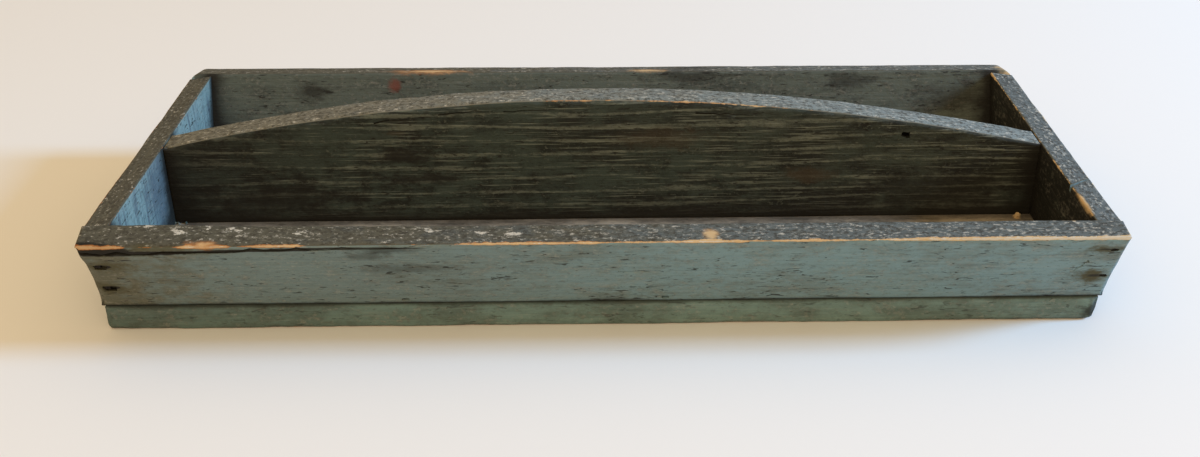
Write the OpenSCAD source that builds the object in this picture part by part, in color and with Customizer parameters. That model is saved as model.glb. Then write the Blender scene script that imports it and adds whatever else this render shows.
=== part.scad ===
// Open knife box: a low tray with leaning sides, a nailed-on bottom and an arched centre
// divider that is also its handle. X runs along the box, Y from front to back and Z up.
// The origin is the centre of the underside.

/* [Overall size] */
// Length over the two ends, measured at the outer arris of the rim
box_l = 460; // [400:1:520]
// Width over the outer arrises of the rim, before wear
box_w = 217; // [190:1:260]
// Height of the rim above the surface that the box stands on
rim_h = 52.5; // [48:0.5:66]
// Lean of the side boards away from upright, in degrees
side_splay = 23.5; // [8:0.5:28]
// Lean of the end boards away from upright, in degrees
end_splay = 1; // [0:0.25:5]
// Fall of the side boards' planed rim from its inner to its outer arris
rim_fall = 4; // [0.5:0.25:6]
// Fall of the end boards' rim from its inner to its outer arris
end_rim_fall = 1.5; // [0.5:0.25:4]

/* [Boards] */
// Thickness of the side boards
side_t = 15; // [11:0.5:18]
// Thickness of the end boards
end_t = 12.5; // [9:0.5:15]
// Thickness of the bottom board
bottom_t = 12; // [9:0.5:14]
// Distance that the bottom board stands out past the side boards
bottom_lip = 1.25; // [0:0.25:5]
// Distance that the bottom board stops short of the outer faces of the ends
bottom_setback = 2; // [0:0.25:4]
// How far the bottom board was nailed on off centre, along the box
bottom_shift = -1; // [-2:0.25:2]

/* [Divider] */
// Thickness of the divider
divider_t = 17.25; // [12:0.25:20]
// How far the divider stands behind the middle of the box
divider_shift = 1.5; // [-6:0.25:6]
// Rise of the arched top above its own ends
arch_rise = 25; // [12:1:50]
// Depth of the arch's ends below the rim
arch_end_drop = 0.5; // [0:0.25:6]

/* [Worn edges] */
// Radius worn on the outer arris of the side boards' rim
rim_wear = 3; // [1:0.25:4.5]
// Radius worn on the outer arris of the end boards' rim
end_rim_wear = 1.25; // [0.5:0.25:4]
// Radius worn on the inner arris of the rim
rim_inner_wear = 1.25; // [0.5:0.25:3]
// Radius worn on the lower outer arris of the sides and ends, along the joint with the bottom
joint_wear = 0.8; // [0.25:0.25:1.5]
// Radius worn on the two arrises of the arch
arch_wear = 3; // [1:0.25:5]
// Radius worn on the arrises of the bottom board
bottom_wear = 1.5; // [0.5:0.25:3]
// Radius worn on the lower arrises of the bottom board's two ends
bottom_end_wear = 3; // [1:0.25:3.5]
// Radius worn on the top corners of the side boards
side_corner_wear = 6; // [1:0.5:9]
// Radius worn on the corners of the bottom board
bottom_corner_wear = 5; // [1:0.5:12]

/* [Nails] */
// Thickness of the plate that the nails are cut from
nail_plate = 1.7; // [1.2:0.1:2.4]
// Width of the nail heads
nail_head_w = 4.3; // [3.4:0.1:6]
// Depth of the nail heads
nail_head_t = 1.6; // [1:0.1:3]
// Width of the shank under the head
nail_shank_w = 2.8; // [2:0.1:3.2]
// Width of the shank at its blunt point
nail_point_w = 1.2; // [0.8:0.1:1.8]
// Depth that the heads are driven below the wood
nail_set = 0.7; // [0.4:0.1:1.2]
// Clearance between a nail and its hole
nail_fit = 0.1; // [0.05:0.05:0.3]
// Length of the nails at the corners and at the divider's ends
corner_nail_l = 34; // [26:1:40]
// Length of the nails through the bottom board
bottom_nail_l = 28; // [22:1:32]

/* [Nail places] */
// Height of the lower nail at the front left corner above the bottom board
front_left_rise = 11.5; // [5:0.5:14]
// Depth of the upper nail at the front left corner below the rim
front_left_drop = 15.5; // [8.5:0.5:17]
// Height of the lower nail at the front right corner above the bottom board
front_right_rise = 14.5; // [5:0.5:15]
// Depth of the upper nail at the front right corner below the rim
front_right_drop = 8.5; // [8.5:0.5:16]
// Height of the lower nail at each back corner above the bottom board
back_rise = 11; // [5:0.5:14]
// Depth of the upper nail at each back corner below the rim
back_drop = 14; // [8.5:0.5:17]
// Height of the lower nail into each end of the divider above the bottom board
divider_rise = 11; // [5:0.5:14]
// Depth of the upper nail into each end of the divider below the rim
divider_drop = 14; // [8.5:0.5:17]
// Nails through the bottom into each side board
side_nails = 5; // [3:1:9]
// Distance from the middle of the box to the last of them
side_nail_reach = 192; // [150:1:195]
// Nails through the bottom into the divider
divider_nails = 3; // [2:1:6]
// Distance from the middle of the box to the last of them
divider_nail_reach = 140; // [60:1:180]
// Distance from the middle of an end board to each of its two bottom nails
end_nail_reach = 44; // [20:1:55]

/* [Hidden] */

// Sides of the box, as signs of Y and X
front = -1;
back = 1;
left = -1;
right = 1;

// Paint, bare iron and how round things are drawn
side_paint = "#6d8684";
dark_paint = "#3a423b";
bottom_paint = "#55665c";
nail_iron = "#2a2622";
arc_steps = 6;
arch_fn = 360;

// Height of the outer arris of the rim on the sides and on the ends, and of the joint between
// frame and bottom board
arris_h = rim_h - rim_fall;
end_arris_h = rim_h - end_rim_fall;
joint_h = bottom_t;
// Anything longer than the box, for stock that is cut to its outline
stock_l = box_l * 2;

// Y of the outer and inner face of a side board at height z, and X of those of an end board
function side_outer(z) = box_w / 2 - (arris_h - z) * tan(side_splay);
function side_inner(z) = side_outer(z) - side_t / cos(side_splay);
function end_outer(z) = box_l / 2 - (arris_h - z) * tan(end_splay);
function end_inner(z) = end_outer(z) - end_t / cos(end_splay);
function end_middle(z) = (end_outer(z) + end_inner(z)) / 2;

// The arch is one circle through the divider's two ends and its crown
arch_end_h = rim_h - arch_end_drop;
arch_half = end_inner(arch_end_h);
arch_r = (arch_half * arch_half + arch_rise * arch_rise) / (2 * arch_rise);
arch_centre_h = arch_end_h + arch_rise - arch_r;

// Half length and half width of the bottom board
bottom_half_l = end_outer(joint_h) - bottom_setback;
bottom_half_w = side_outer(joint_h) + bottom_lip;

// A bottom nail stands upright in the middle of the leaning wood that it holds
bottom_nail_mid = (joint_h + nail_set + bottom_nail_l) / 2;
side_nail_y = (side_outer(bottom_nail_mid) + side_inner(bottom_nail_mid)) / 2;
end_nail_x = end_middle(bottom_nail_mid);

// Evenly spaced places of n nails, from -reach to reach
function spaced(n, reach) = [for (i = [0 : n - 1]) reach * (2 * i / (n - 1) - 1)];

// Arc of radius r that rounds the corner b of an outline that runs a, b, c
function corner_arc(a, b, c, r) =
    let (
        u = (a - b) / norm(a - b),
        v = (c - b) / norm(c - b),
        half = acos(u * v) / 2,
        centre = b + (u + v) / norm(u + v) * r / sin(half),
        from = b + u * r / tan(half) - centre,
        to = b + v * r / tan(half) - centre,
        start = atan2(from.y, from.x),
        turn = (atan2(to.y, to.x) - start + 540) % 360 - 180
    )
    [for (i = [0 : arc_steps]) let (t = start + turn * i / arc_steps) centre + r * [cos(t), sin(t)]];

// Outline with each corner rounded by its own radius, where 0 leaves it sharp
function rounded(points, radii) =
    let (n = len(points))
    [for (i = [0 : n - 1])
        each radii[i] == 0
            ? [points[i]]
            : corner_arc(points[(i + n - 1) % n], points[i], points[(i + 1) % n], radii[i])];

// Outline of a cut nail that is driven along +Y from its head: T head and tapering shank.
// A hole has the same outline, grown all round and open outwards.
function nail_outline(length, grow, outwards) =
    let (
        head = nail_head_w / 2 + grow,
        shank = nail_shank_w / 2 + grow,
        point = nail_point_w / 2 + grow,
        under = nail_head_t + grow,
        tip = length + grow
    )
    [[-head, -outwards], [head, -outwards], [head, under], [shank, under],
     [point, tip], [-point, tip], [-shank, under], [-head, under]];

// One nail, head at the origin and driven along +Z, with its wide side along X
module nail(length, grow = 0, outwards = 0) {
    rotate([90, 0, 0])
        linear_extrude(nail_plate + 2 * grow, center = true)
            polygon(nail_outline(length, grow, outwards));
}

// The hole for such a nail, which reaches outwards past the face of the board
module nail_hole(length) {
    nail(length, nail_fit, nail_head_w);
}

// Nail places. Each puts a nail's head on the wood and points it inwards.
module at_corner(y_side, x_side, heights) {
    for (z = heights)
        translate([x_side * end_middle(z), y_side * (side_outer(z) - nail_set), z])
            rotate([90 * y_side, 0, 0])
                children();
}

module at_divider_end(x_side) {
    for (z = nail_heights(divider_rise, divider_drop))
        translate([x_side * (end_outer(z) - nail_set), divider_shift, z])
            rotate([0, -90 * x_side, 0])
                rotate([0, 0, 90])
                    children();
}

module at_bottom(places) {
    for (place = places)
        translate([place.x, place.y, nail_set])
            children();
}

// Heights of the two nails of a joint: one measured up from the bottom board, one down from the rim
function nail_heights(rise, drop) = [joint_h + rise, rim_h - drop];

front_left_heights = nail_heights(front_left_rise, front_left_drop);
front_right_heights = nail_heights(front_right_rise, front_right_drop);
back_heights = nail_heights(back_rise, back_drop);

function side_places(y_side) = [for (x = spaced(side_nails, side_nail_reach)) [x, y_side * side_nail_y]];
function end_places(x_side) = [for (y = [-end_nail_reach, end_nail_reach]) [x_side * end_nail_x, y]];
function divider_places() = [for (x = spaced(divider_nails, divider_nail_reach)) [x, divider_shift]];

// Section of a side board across the box, on the +Y side
side_section = rounded(
    [[side_inner(joint_h), joint_h], [side_outer(joint_h), joint_h],
     [side_outer(arris_h), arris_h], [side_inner(rim_h), rim_h]],
    [0, joint_wear, rim_wear, rim_inner_wear]);

// Outline of a side board as seen from the front, cut to the lean of the ends
side_face = rounded(
    [[-end_outer(joint_h), joint_h], [end_outer(joint_h), joint_h],
     [end_outer(rim_h), rim_h], [-end_outer(rim_h), rim_h]],
    [0, 0, side_corner_wear, side_corner_wear]);

// Section of an end board along the box, on the +X side
end_section = rounded(
    [[end_inner(joint_h), joint_h], [end_outer(joint_h), joint_h],
     [end_outer(end_arris_h), end_arris_h], [end_inner(rim_h), rim_h]],
    [0, joint_wear, end_rim_wear, rim_inner_wear]);

// Outline of an end board as seen from the end, which fits between the leaning side boards
end_face = [
    [-side_inner(joint_h), joint_h], [side_inner(joint_h), joint_h],
    [side_inner(rim_h), rim_h], [-side_inner(rim_h), rim_h]
];

// Section of the bottom board from its middle out to half its size, with its lower arrises
// worn to their own radius
function flat_section(half, lower_wear) = rounded(
    [[-half, 0], [half, 0], [half, bottom_t], [-half, bottom_t]],
    [lower_wear, lower_wear, bottom_wear, bottom_wear]);

// Draws an outline of (x, z) points and stretches it along Y, or of (y, z) points along X
module along_y(points) {
    rotate([90, 0, 0])
        linear_extrude(stock_l, center = true)
            polygon(points);
}

module along_x(points) {
    rotate([90, 0, 90])
        linear_extrude(stock_l, center = true)
            polygon(points);
}

// Flat board under the frame: its two sections and its worn corners
module bottom_board() {
    corners = [[-bottom_half_l, -bottom_half_w], [bottom_half_l, -bottom_half_w],
               [bottom_half_l, bottom_half_w], [-bottom_half_l, bottom_half_w]];
    wear = [for (corner = corners) bottom_corner_wear];
    color(bottom_paint)
    difference() {
        translate([bottom_shift, 0, 0])
            intersection() {
                along_x(flat_section(bottom_half_w, bottom_wear));
                along_y(flat_section(bottom_half_l, bottom_end_wear));
                linear_extrude(bottom_t)
                    polygon(rounded(corners, wear));
            }
        for (y_side = [front, back])
            at_bottom(side_places(y_side)) nail_hole(bottom_nail_l);
        for (x_side = [left, right])
            at_bottom(end_places(x_side)) nail_hole(bottom_nail_l);
        at_bottom(divider_places()) nail_hole(bottom_nail_l);
    }
}

// Leaning side board, with the nail heights of its left and right corners
module side_board(y_side, left_heights, right_heights) {
    color(side_paint)
    difference() {
        intersection() {
            to_y_side(y_side) along_x(side_section);
            along_y(side_face);
        }
        at_corner(y_side, left, left_heights) nail_hole(corner_nail_l);
        at_corner(y_side, right, right_heights) nail_hole(corner_nail_l);
        at_bottom(side_places(y_side)) nail_hole(bottom_nail_l);
    }
}

module front_side_board() {
    side_board(front, front_left_heights, front_right_heights);
}

module back_side_board() {
    side_board(back, back_heights, back_heights);
}

// Puts a shape drawn on the + side onto the side that the sign names
module to_y_side(y_side) {
    mirror([0, y_side < 0 ? 1 : 0, 0]) children();
}

module to_x_side(x_side) {
    mirror([x_side < 0 ? 1 : 0, 0, 0]) children();
}

// Trapezoid end board, with the nail heights of its front corner
module end_board(x_side, front_heights) {
    color(side_paint)
    difference() {
        intersection() {
            to_x_side(x_side) along_y(end_section);
            along_x(end_face);
        }
        at_corner(front, x_side, front_heights) nail_hole(corner_nail_l);
        at_corner(back, x_side, back_heights) nail_hole(corner_nail_l);
        at_divider_end(x_side) nail_hole(corner_nail_l);
        at_bottom(end_places(x_side)) nail_hole(bottom_nail_l);
    }
}

module left_end_board() {
    end_board(left, front_left_heights);
}

module right_end_board() {
    end_board(right, front_right_heights);
}

// Turned disc whose rim is the arch, with both arrises of the rim worn round
module arch_disc() {
    half = divider_t / 2;
    translate([0, divider_shift, arch_centre_h])
        rotate([90, 0, 0])
            rotate_extrude($fn = arch_fn)
                polygon(rounded([[0, -half], [arch_r, -half], [arch_r, half], [0, half]],
                                [0, arch_wear, arch_wear, 0]));
}

// Divider: a board cut to length between the leaning ends, and to the arch along its top
module divider() {
    crown_h = arch_end_h + arch_rise;
    blank = [[-end_inner(joint_h), joint_h], [end_inner(joint_h), joint_h],
             [end_inner(arch_end_h), arch_end_h], [end_inner(arch_end_h), crown_h],
             [-end_inner(arch_end_h), crown_h], [-end_inner(arch_end_h), arch_end_h]];
    color(dark_paint)
    difference() {
        intersection() {
            arch_disc();
            along_y(blank);
        }
        for (x_side = [left, right])
            at_divider_end(x_side) nail_hole(corner_nail_l);
        at_bottom(divider_places()) nail_hole(bottom_nail_l);
    }
}

// Nails, one group for each joint that they hold
module front_left_corner_nails() {
    color(nail_iron) at_corner(front, left, front_left_heights) nail(corner_nail_l);
}

module front_right_corner_nails() {
    color(nail_iron) at_corner(front, right, front_right_heights) nail(corner_nail_l);
}

module back_left_corner_nails() {
    color(nail_iron) at_corner(back, left, back_heights) nail(corner_nail_l);
}

module back_right_corner_nails() {
    color(nail_iron) at_corner(back, right, back_heights) nail(corner_nail_l);
}

module left_divider_nails() {
    color(nail_iron) at_divider_end(left) nail(corner_nail_l);
}

module right_divider_nails() {
    color(nail_iron) at_divider_end(right) nail(corner_nail_l);
}

module front_bottom_nails() {
    color(nail_iron) at_bottom(side_places(front)) nail(bottom_nail_l);
}

module back_bottom_nails() {
    color(nail_iron) at_bottom(side_places(back)) nail(bottom_nail_l);
}

module left_bottom_nails() {
    color(nail_iron) at_bottom(end_places(left)) nail(bottom_nail_l);
}

module right_bottom_nails() {
    color(nail_iron) at_bottom(end_places(right)) nail(bottom_nail_l);
}

module divider_bottom_nails() {
    color(nail_iron) at_bottom(divider_places()) nail(bottom_nail_l);
}

bottom_board();
front_side_board();
back_side_board();
left_end_board();
right_end_board();
divider();
front_left_corner_nails();
front_right_corner_nails();
back_left_corner_nails();
back_right_corner_nails();
left_divider_nails();
right_divider_nails();
front_bottom_nails();
back_bottom_nails();
left_bottom_nails();
right_bottom_nails();
divider_bottom_nails();
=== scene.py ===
"""Antique knife box in worn blue-green milk paint: six hand-planed pine boards and the cut nails
that hold them. Lengths are in metres, in the box's own frame: X along it, Y to the back, Z up."""

import math
import random

import bmesh
import bpy
import numpy as np
from bpy.props import FloatProperty, FloatVectorProperty, IntProperty, PointerProperty
from mathutils import Matrix, Vector


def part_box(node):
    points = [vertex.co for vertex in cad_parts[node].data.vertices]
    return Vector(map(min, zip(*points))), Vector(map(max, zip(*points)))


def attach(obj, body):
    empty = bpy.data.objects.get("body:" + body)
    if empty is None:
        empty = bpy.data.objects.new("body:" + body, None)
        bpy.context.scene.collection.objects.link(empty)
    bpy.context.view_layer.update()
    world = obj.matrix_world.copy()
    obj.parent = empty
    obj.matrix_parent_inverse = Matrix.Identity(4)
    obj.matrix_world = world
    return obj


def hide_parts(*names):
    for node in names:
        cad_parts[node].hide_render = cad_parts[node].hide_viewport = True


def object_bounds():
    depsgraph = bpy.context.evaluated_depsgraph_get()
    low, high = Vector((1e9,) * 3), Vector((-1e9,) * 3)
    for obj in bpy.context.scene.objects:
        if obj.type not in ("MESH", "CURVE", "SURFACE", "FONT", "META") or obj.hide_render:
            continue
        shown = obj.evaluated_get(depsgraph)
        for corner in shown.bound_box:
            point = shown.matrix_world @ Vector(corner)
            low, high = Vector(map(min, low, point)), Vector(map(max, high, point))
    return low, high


bl_info = {
    "name": "Antique Knife Box",
    "version": (1, 0, 0),
    "blender": (4, 5, 0),
    "location": "3D View > Sidebar > Knife Box",
    "description": "Builds an old painted knife box from its boards and nails",
    "category": "Add Mesh",
}

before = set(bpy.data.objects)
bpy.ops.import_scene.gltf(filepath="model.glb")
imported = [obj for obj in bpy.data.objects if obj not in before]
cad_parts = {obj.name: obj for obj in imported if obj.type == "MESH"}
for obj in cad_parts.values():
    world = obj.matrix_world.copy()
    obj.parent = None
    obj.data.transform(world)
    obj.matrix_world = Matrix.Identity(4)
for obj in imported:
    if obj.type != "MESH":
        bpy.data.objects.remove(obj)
CAD_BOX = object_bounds()
MM = 0.001

# The two ends of each axis of a board's own box: u along the grain, v across it, w through it.
# On a standing board v0 is its lower edge, v1 its rim, w0 its inner face and w1 its outer face. On
# the divider w0 is its back face and w1 its front one. The bottom board lies flat, so there v0 is
# its front edge, w0 its underside and w1 the floor inside. U runs to the left on the front board.
U0, U1, V0, V1, W0, W1 = range(6)


def linear(code, alpha=1.0):
    """Linear colour of an sRGB hex code."""
    parts = [int(code[i:i + 2], 16) / 255 for i in (1, 3, 5)]
    return tuple(c / 12.92 if c <= 0.04045 else ((c + 0.055) / 1.055) ** 2.4 for c in parts) + (alpha,)


def length(name, description, default):
    return FloatProperty(name=name, description=description, default=default, unit="LENGTH", precision=5)


def angle(name, description, degrees):
    return FloatProperty(name=name, description=description, default=math.radians(degrees), unit="ROTATION")


def colour(name, description, code):
    return FloatVectorProperty(name=name, description=description, default=linear(code), size=4,
                               subtype="COLOR", min=0, max=1)


class KnifeBoxSizes(bpy.types.PropertyGroup):
    """Sizes of the boards, over their worn faces."""
    rim_height: length("Rim height", "Height of the inner arris of the ends' rim", 0.0525)
    back_rim: length("Back rim", "Height of the inner arris of the back rim", 0.0538)
    back_arris: length("Back arris", "Height of the outer arris of the back rim", 0.0514)
    end_fall: length("End rim fall", "Fall of the end boards' rim from inner to outer arris", 0.0015)
    face_height: length("Face height", "Height at which the width and length are measured", 0.0510)
    half_width: length("Half width", "Half the width over the outer arrises of the rim", 0.1081)
    half_length: length("Half length", "Half the length over the outer arrises of the rim", 0.230)
    side_splay: angle("Side splay", "Lean of the side boards away from upright", 23.75)
    end_splay: angle("End splay", "Lean of the end boards away from upright", 1.0)
    side_thickness: length("Side thickness", "Thickness of the side boards", 0.015)
    end_thickness: length("End thickness", "Thickness of the end boards", 0.0125)
    divider_thickness: length("Divider thickness", "Thickness of the divider", 0.01725)
    divider_shift: length("Divider shift", "How far the divider stands behind the middle", 0.0015)
    arch_rise: length("Arch rise", "Rise of the arch above its own ends", 0.025)
    arch_drop: length("Arch drop", "Depth of the arch's ends below the rim", 0.0005)
    bottom_half_width: length("Bottom half width", "Half the width of the bottom board", 0.0922)
    bottom_right: length("Bottom right", "Reach of the bottom board to the right", 0.2256)
    bottom_left: length("Bottom left", "Reach of the bottom board to the left", 0.2278)
    taper: length("Taper", "How much higher the left end was planed, and lower the right", 0.0014)


class KnifeBoxWear(bpy.types.PropertyGroup):
    """How far the edges are worn and how the faces wander."""
    rim_outer: length("Outer rim", "Radius worn on the outer arris of the side boards' rim", 0.0024)
    end_rim_outer: length("Outer end rim", "Radius worn on the outer arris of the ends' rim", 0.00125)
    rim_inner: length("Inner rim", "Radius worn on the inner arris of the rim", 0.00125)
    arch: length("Arch", "Radius worn on the arrises of the arch", 0.0031)
    bottom: length("Bottom", "Radius worn on the arrises of the bottom board", 0.0018)
    joint: length("Joint", "Radius worn on arrises that meet another board", 0.0005)
    front_corner: length("Front corners", "Radius worn on the top corners of the front board", 0.0010)
    back_corner: length("Back corners", "Radius worn on the top corners of the back board", 0.006)
    end_arris: length("End arris", "Radius worn on the upright outer arrises of the side boards", 0.0040)
    end_corner: length("Bottom end corner", "Radius worn on the bottom board's lower ends", 0.003)
    knocked_corner: length("Knocked corner", "Radius of the bottom board's knocked right front end", 0.0065)
    bottom_corner: length("Bottom corners", "Radius worn on the corners of the bottom board", 0.005)
    plane_ripple: length("Plane ripple", "Depth of the hand plane's long ripples", 0.00022)
    dents: length("Dents", "Depth of knocks along the arrises", 0.0007)
    fine_cell: length("Fine cell", "Spacing of mesh lines near the arrises", 0.0006)
    coarse_cell: length("Coarse cell", "Spacing of mesh lines in the middle of a face", 0.0024)
    grain_cell: length("Grain cell", "Spacing of mesh lines along the grain", 0.0016)


class KnifeBoxColours(bpy.types.PropertyGroup):
    """Paint, dirt, painted shade, wood and iron."""
    paint: colour("Paint", "Blue-green milk paint where it is cleanest", "#71898c")
    paint_dull: colour("Dull paint", "The same paint under years of handling", "#66726e")
    paint_brown: colour("Browned paint", "Paint browned by smoke and hands", "#5a5847")
    rim_warm: colour("Warm rim", "Worn grey-brown paint on the rim's left part", "#514f43")
    rim_cool: colour("Cool rim", "Worn blue-grey paint on the rim's right part", "#5a6262")
    rim_dark: colour("Dark rim", "Grime rubbed into the rim's grain", "#35322a")
    crust: colour("Crust", "Chalky crumbs of an older pale coat", "#c3beb0")
    arch_warm: colour("Warm arch", "Flaky grey-brown paint on the arch's left part", "#6f6d61")
    arch_cool: colour("Cool arch", "Flaky blue-grey paint on the arch's right part", "#78817f")
    knot: colour("Knot", "Brown knots and bare streaks on the divider", "#40372a")
    inside_blue: colour("Inside blue", "Paint inside the left end, where no smoke reached", "#71857f")
    brush_pale: colour("Brushed blue", "Paler strokes of the brush inside the left end", "#93a69f")
    # Also painted shade beside the divider, inside the left end
    inside_slate: colour("Inside slate", "The same paint where hands rubbed past it", "#596468")
    # Painted shade: the side boards' inner faces are painted darker than their outer faces
    inside_shade: colour("Inside dark", "Smoked and greasy paint inside", "#535a52")
    divider_paint: colour("Divider paint", "Dark green paint on the divider", "#39423b")
    divider_pale: colour("Divider grain", "Raised grain where that paint is rubbed", "#858a7c")
    # Also painted shade: the right end's inside is painted nearly black with it, and the divider darker
    # towards its foot
    divider_dark: colour("Divider dark", "Nearly black grime on the divider", "#1a1b16")
    floor_dust: colour("Floor dust", "Dusty brown wood on the floor inside", "#b0a38e")
    floor_dark: colour("Floor dark", "Dark wear on the floor inside", "#71685a")
    edge_paint: colour("Edge paint", "Grey-green paint on the bottom board's edge", "#697f78")
    edge_dull: colour("Dull edge paint", "The same paint, scuffed", "#57655d")
    underside: colour("Underside", "Bare aged wood under the box", "#8a6f50")
    underside_dark: colour("Dark underside", "Wear and dirt under the box", "#5c4935")
    wood: colour("Bare wood", "Pine laid bare along the arrises", "#cbac7e")
    wood_deep: colour("Deep wood", "Orange rims round that bare pine", "#9a6333")
    # Also painted shade: in the inner corners and in the divider's lower corners
    grime_and_shade: colour("Grime", "Dirt in corners, round nails and in the grain", "#1d1a14")
    stain: colour("Nail stain", "Brown-olive stain round the nails", "#47432c")
    red_stain: colour("Red stain", "Old red drip on the back board", "#6b3a2e")
    iron: colour("Iron", "Rusted cut nails", "#100e0b")
    rust: colour("Rust", "Brighter rust on the nails", "#2c2018")


class KnifeBoxNails(bpy.types.PropertyGroup):
    """Sizes of the cut nails."""
    head_width: length("Head width", "Width of a nail's head", 0.0043)
    head_depth: length("Head depth", "Depth of a nail's head", 0.0016)
    plate: length("Plate", "Thickness of the plate that the nails are cut from", 0.0017)
    shank_width: length("Shank width", "Width of the shank under the head", 0.0028)
    point_width: length("Point width", "Width of the shank at its point", 0.0012)
    hole_slack: length("Hole slack", "Wood torn away round a nail's head", 0.0004)
    seed: IntProperty(name="Seed", description="Changes how the heads are battered", default=7)


class KnifeBoxCamera(bpy.types.PropertyGroup):
    """The viewpoint, as recovered from the box's own edges."""
    pitch: angle("Pitch", "Angle below the horizon", 26.904)
    yaw: angle("Yaw", "Turn to the right", -0.112)
    roll: angle("Roll", "Turn about the line of sight", -0.651)
    distance: length("Distance", "From the camera to the middle of the box", 0.72194)
    aim_x: length("Aim X", "Sideways shift of the point aimed at", -0.00139)
    aim_z: length("Aim Z", "Height of the point aimed at", 0.00277)
    focal: FloatProperty(name="Focal length", description="On a 36 mm wide sensor", default=42.0,
                         unit="CAMERA")


def sizes():
    return bpy.context.scene.knife_box_sizes


def wear():
    return bpy.context.scene.knife_box_wear


def colours():
    return bpy.context.scene.knife_box_colours


# Height of the joint between the frame of four boards and the bottom board
JOINT_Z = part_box("bottom_board")[1].z

# Heights along X of the front rim's inner arris, and of its outer one, which hands wore low at the
# left
FRONT_RIM = ((-0.230, -0.212, -0.190, -0.177, -0.155, -0.111, -0.076,
              -0.045, 0.0, 0.078, 0.153, 0.197, 0.230),
             (0.0526, 0.0532, 0.0531, 0.0527, 0.0521, 0.0515, 0.0512,
              0.0517, 0.0521, 0.0523, 0.0526, 0.0529, 0.0526))
FRONT_ARRIS = ((-0.230, -0.180, -0.130, -0.075, 0.0, 0.050, 0.128, 0.230),
               (0.0489, 0.0492, 0.0497, 0.0502, 0.0508, 0.0512, 0.0517, 0.0518))
# Furthest that the front face reaches at that arris
FRONT_REACH = 0.1089

# How far the side boards' ends are worn back: the front board's, the back board's, and what the
# front board's right end lost besides, all the way up and most at its foot
FRONT_ENDS_WORN = 0.0006
BACK_ENDS_WORN = 0.0011
RIGHT_END_WORN = 0.0006
RIGHT_FOOT_WORN = 0.0012

# Radii worn on the side boards where the rim meets their ends, and on the outer arris of each foot
RIM_END_RADIUS = 0.0012
FOOT_RADIUS = 0.0006

# The front rim's outer arris is worn this much more or less than its radius, at the right and left
FRONT_SWELL = (0.75, 1.3)

# How far the heads in the side boards are sunk under the worn face
SUNK = 1.1 * MM


def side_outer(z):
    """Distance of the side boards' outer face from the middle, at a height."""
    s = sizes()
    return s.half_width - (s.face_height - z) * math.tan(s.side_splay)


def side_inner(z):
    """Distance of the side boards' inner face from the middle."""
    return side_outer(z) - sizes().side_thickness / math.cos(sizes().side_splay)


def end_outer(z):
    """Distance of the end boards' outer face from the middle."""
    s = sizes()
    return s.half_length - (s.face_height - z) * math.tan(s.end_splay)


def end_inner(z):
    """Distance of the end boards' inner face from the middle."""
    return end_outer(z) - sizes().end_thickness / math.cos(sizes().end_splay)


def arch_z(x):
    """Height of the divider's arched top: one circle through its ends and crown."""
    s = sizes()
    ends = s.rim_height - s.arch_drop
    half = end_inner(ends)
    radius = (half ** 2 + s.arch_rise ** 2) / (2 * s.arch_rise)
    return ends + s.arch_rise - radius + np.sqrt(radius ** 2 - np.asarray(x) ** 2)


def tapered(co):
    """The frame as it was planed by hand: a little higher at the left end than at the right."""
    s = sizes()
    share = np.clip((co[:, 2] - JOINT_Z) / (s.rim_height - JOINT_Z), 0, None)
    co[:, 2] -= s.taper * share * co[:, 0] / s.half_length
    return co


def lattice_noise(points, cell, seed):
    """Smooth random values from -1 to 1, with features about one cell wide."""
    q = np.asarray(points) / np.asarray(cell)
    base = np.floor(q).astype(np.int64)
    f = q - base
    f = f * f * (3 - 2 * f)
    total = np.zeros(len(q))
    for corner in np.ndindex(2, 2, 2):
        n = base + corner
        h = (n[:, 0] * 73856093) ^ (n[:, 1] * 19349663) ^ (n[:, 2] * 83492791) ^ (seed * 83492791)
        h = (h ^ (h >> 13)) * 1274126177
        value = ((h ^ (h >> 16)) & 0xFFFF) / 32767.5 - 1
        total += value * np.prod(np.where(corner, f, 1 - f), axis=1)
    return total


def grid_lines(size, fine, coarse, border):
    """Places from 0 to size, close together within a border of both ends."""
    border = min(border, size / 2 - fine)
    edge = np.linspace(0, border, max(2, round(border / fine)) + 1)[:-1]
    count = max(1, round((size - 2 * border) / coarse))
    return np.concatenate([edge, np.linspace(border, size - border, count + 1), (size - edge)[::-1]])


def box_surface(lines):
    """Points and outward quads of a box cut by the grid lines of its three axes."""
    counts = [len(a) for a in lines]
    index = -np.ones(counts, int)
    shell = np.zeros(counts, bool)
    for axis in range(3):
        for side in (0, -1):
            place = [slice(None)] * 3
            place[axis] = side
            shell[tuple(place)] = True
    index[shell] = np.arange(shell.sum())
    ijk = np.argwhere(shell)
    points = np.stack([lines[a][ijk[:, a]] for a in range(3)], axis=1)
    quads = []
    for axis in range(3):
        for side in (0, -1):
            place = [slice(None)] * 3
            place[axis] = side
            sheet = index[tuple(place)]
            a, b, c, d = sheet[:-1, :-1], sheet[1:, :-1], sheet[1:, 1:], sheet[:-1, 1:]
            turn = (side == -1) == (axis != 1)
            order = (a, b, c, d) if turn else (a, d, c, b)
            quads.append(np.stack([q.ravel() for q in order], axis=1))
    return points, np.concatenate(quads)


def pair_tables(default, special):
    """A 6 by 6 table with one value for each arris, named by the two faces that meet there."""
    table = np.full((6, 6), default, float)
    for (a, b), value in special.items():
        table[a, b] = table[b, a] = value
    return table


def round_off(points, size, corners):
    """Rounds whole corners of a board's outline to a quarter circle. Each is named by the two
    faces that meet there and has one radius, or one for each point."""
    for (a, b), radius in corners.items():
        i, j = a // 2, b // 2
        p = np.clip(1 - (size[i] - points[:, i] if a % 2 else points[:, i]) / radius, 0, 1)
        q = np.clip(1 - (size[j] - points[:, j] if b % 2 else points[:, j]) / radius, 0, 1)
        points[:, i] += radius * (p - p * np.sqrt(1 - q * q / 2)) * (-1 if a % 2 else 1)
        points[:, j] += radius * (q - q * np.sqrt(1 - p * p / 2)) * (-1 if b % 2 else 1)


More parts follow.
